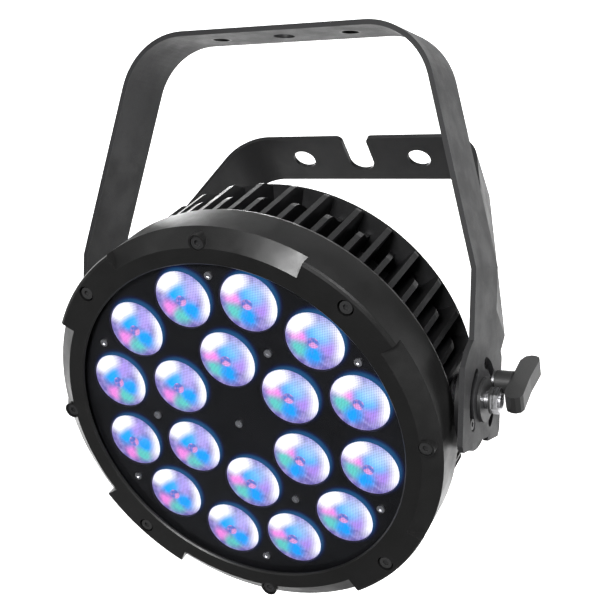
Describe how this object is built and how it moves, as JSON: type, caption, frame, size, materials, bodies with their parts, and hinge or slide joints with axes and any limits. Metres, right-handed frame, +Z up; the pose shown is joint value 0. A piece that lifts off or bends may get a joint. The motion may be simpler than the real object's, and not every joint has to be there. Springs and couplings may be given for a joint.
{
  "type": "par can light",
  "caption": "Round stage par light with a finned cast body, a ring of lenses behind glass and a double hanging yoke with clamp knobs.",
  "frame": {"origin": "centre of the hanging hole on the top face of the front yoke's crossbar", "axes": "+X to the right along the tilt axis seen from the front, +Y backwards, +Z up along the front yoke"},
  "size_m": [0.304, 0.2339, 0.3403],
  "materials": {
    "yoke": "charcoal powder coat",
    "rear_strap": "black powder coat",
    "steel": "bright zinc plate",
    "dark_steel": "black oxide",
    "body": "black paint on cast aluminium",
    "bezel": "satin black paint on cast aluminium",
    "rubber": "matt",
    "glass": "clear",
    "lens": "clear moulded lens with a fine grid",
    "plate": "black",
    "plastic": "black",
    "board": "white solder mask",
    "green_board": "green solder mask",
    "chip": "phosphor",
    "supply": "plain",
    "brass": "plain",
    "window": "dark clear",
    "key": "matt"
  },
  "bodies": {
    "front_yoke_group": {"front_yoke": "yoke", "side_plugs": "plastic"},
    "rear_yoke_group": {"rear_yoke": "rear_strap", "guide_screws": "dark_steel", "friction_washers": "plastic"},
    "head": {"heatsink_body": "body", "pivot_bolts": "steel", "spacer_discs": "steel", "pivot_washers": "dark_steel", "pivot_nuts": "steel", "front_bezel": "bezel", "bezel_screws": "dark_steel", "front_gasket": "rubber", "front_glass": "glass", "lens_plate": "plate", "lens_plate_screws": "steel", "lens_holders": "plastic", "led_board": "board", "led_chips": "chip", "power_supply": "supply", "driver_board": "green_board", "board_standoffs": "brass", "rear_cover": "body", "rear_cover_screws": "steel", "rear_gasket": "rubber", "display_window": "window", "power_inlet": "plastic", "power_outlet": "plastic", "data_in_socket": "plastic", "data_out_socket": "plastic", "fuse_holder": "plastic", "lens_1": "lens", "lens_2": "lens", "lens_3": "lens", "lens_4": "lens", "lens_5": "lens", "lens_6": "lens", "lens_7": "lens", "lens_8": "lens", "lens_9": "lens", "lens_10": "lens", "lens_11": "lens", "lens_12": "lens", "lens_13": "lens", "lens_14": "lens", "lens_15": "lens", "lens_16": "lens", "lens_17": "lens", "lens_18": "lens"},
    "right_clamp": {"right_knob": "plastic", "right_knob_stud": "steel", "right_knob_washer": "steel"},
    "left_clamp": {"left_knob": "plastic", "left_knob_stud": "steel", "left_knob_washer": "steel"},
    "menu_key": {"menu_button": "key"},
    "up_key": {"up_button": "key"},
    "down_key": {"down_button": "key"},
    "enter_key": {"enter_button": "key"},
    "fuse_cap_group": {"fuse_cap": "plastic"}
  },
  "joints": [
    {"name": "rear_yoke_swing", "type": "hinge", "parent": "front_yoke_group", "child": "rear_yoke_group", "pos_m": [0, 0, -0.2095], "axis": [1, 0, 0], "range_deg": [-82, 3]},
    {"name": "head_tilt", "type": "hinge", "parent": "front_yoke_group", "child": "head", "pos_m": [0, 0, -0.2095], "axis": [1, 0, 0], "range_deg": [-66, 56]},
    {"name": "right_knob_turn", "type": "hinge", "parent": "head", "child": "right_clamp", "pos_m": [0.135, 0.01877, -0.20126], "axis": [1, 0, 0], "range_deg": [0, 720]},
    {"name": "left_knob_turn", "type": "hinge", "parent": "head", "child": "left_clamp", "pos_m": [-0.135, 0.01877, -0.20126], "axis": [-1, 0, 0], "range_deg": [0, 720]},
    {"name": "menu_press", "type": "slide", "parent": "head", "child": "menu_key", "axis": [0, -0.9157, -0.4019], "range_m": [0, 0.0012], "stiffness_N_per_m": 300},
    {"name": "up_press", "type": "slide", "parent": "head", "child": "up_key", "axis": [0, -0.9157, -0.4019], "range_m": [0, 0.0012], "stiffness_N_per_m": 300},
    {"name": "down_press", "type": "slide", "parent": "head", "child": "down_key", "axis": [0, -0.9157, -0.4019], "range_m": [0, 0.0012], "stiffness_N_per_m": 300},
    {"name": "enter_press", "type": "slide", "parent": "head", "child": "enter_key", "axis": [0, -0.9157, -0.4019], "range_m": [0, 0.0012], "stiffness_N_per_m": 300},
    {"name": "fuse_cap_turn", "type": "hinge", "parent": "head", "child": "fuse_cap_group", "pos_m": [0, 0.09569, -0.21227], "axis": [0, 0.9157, 0.4019], "range_deg": [0, 60]}
  ]
}
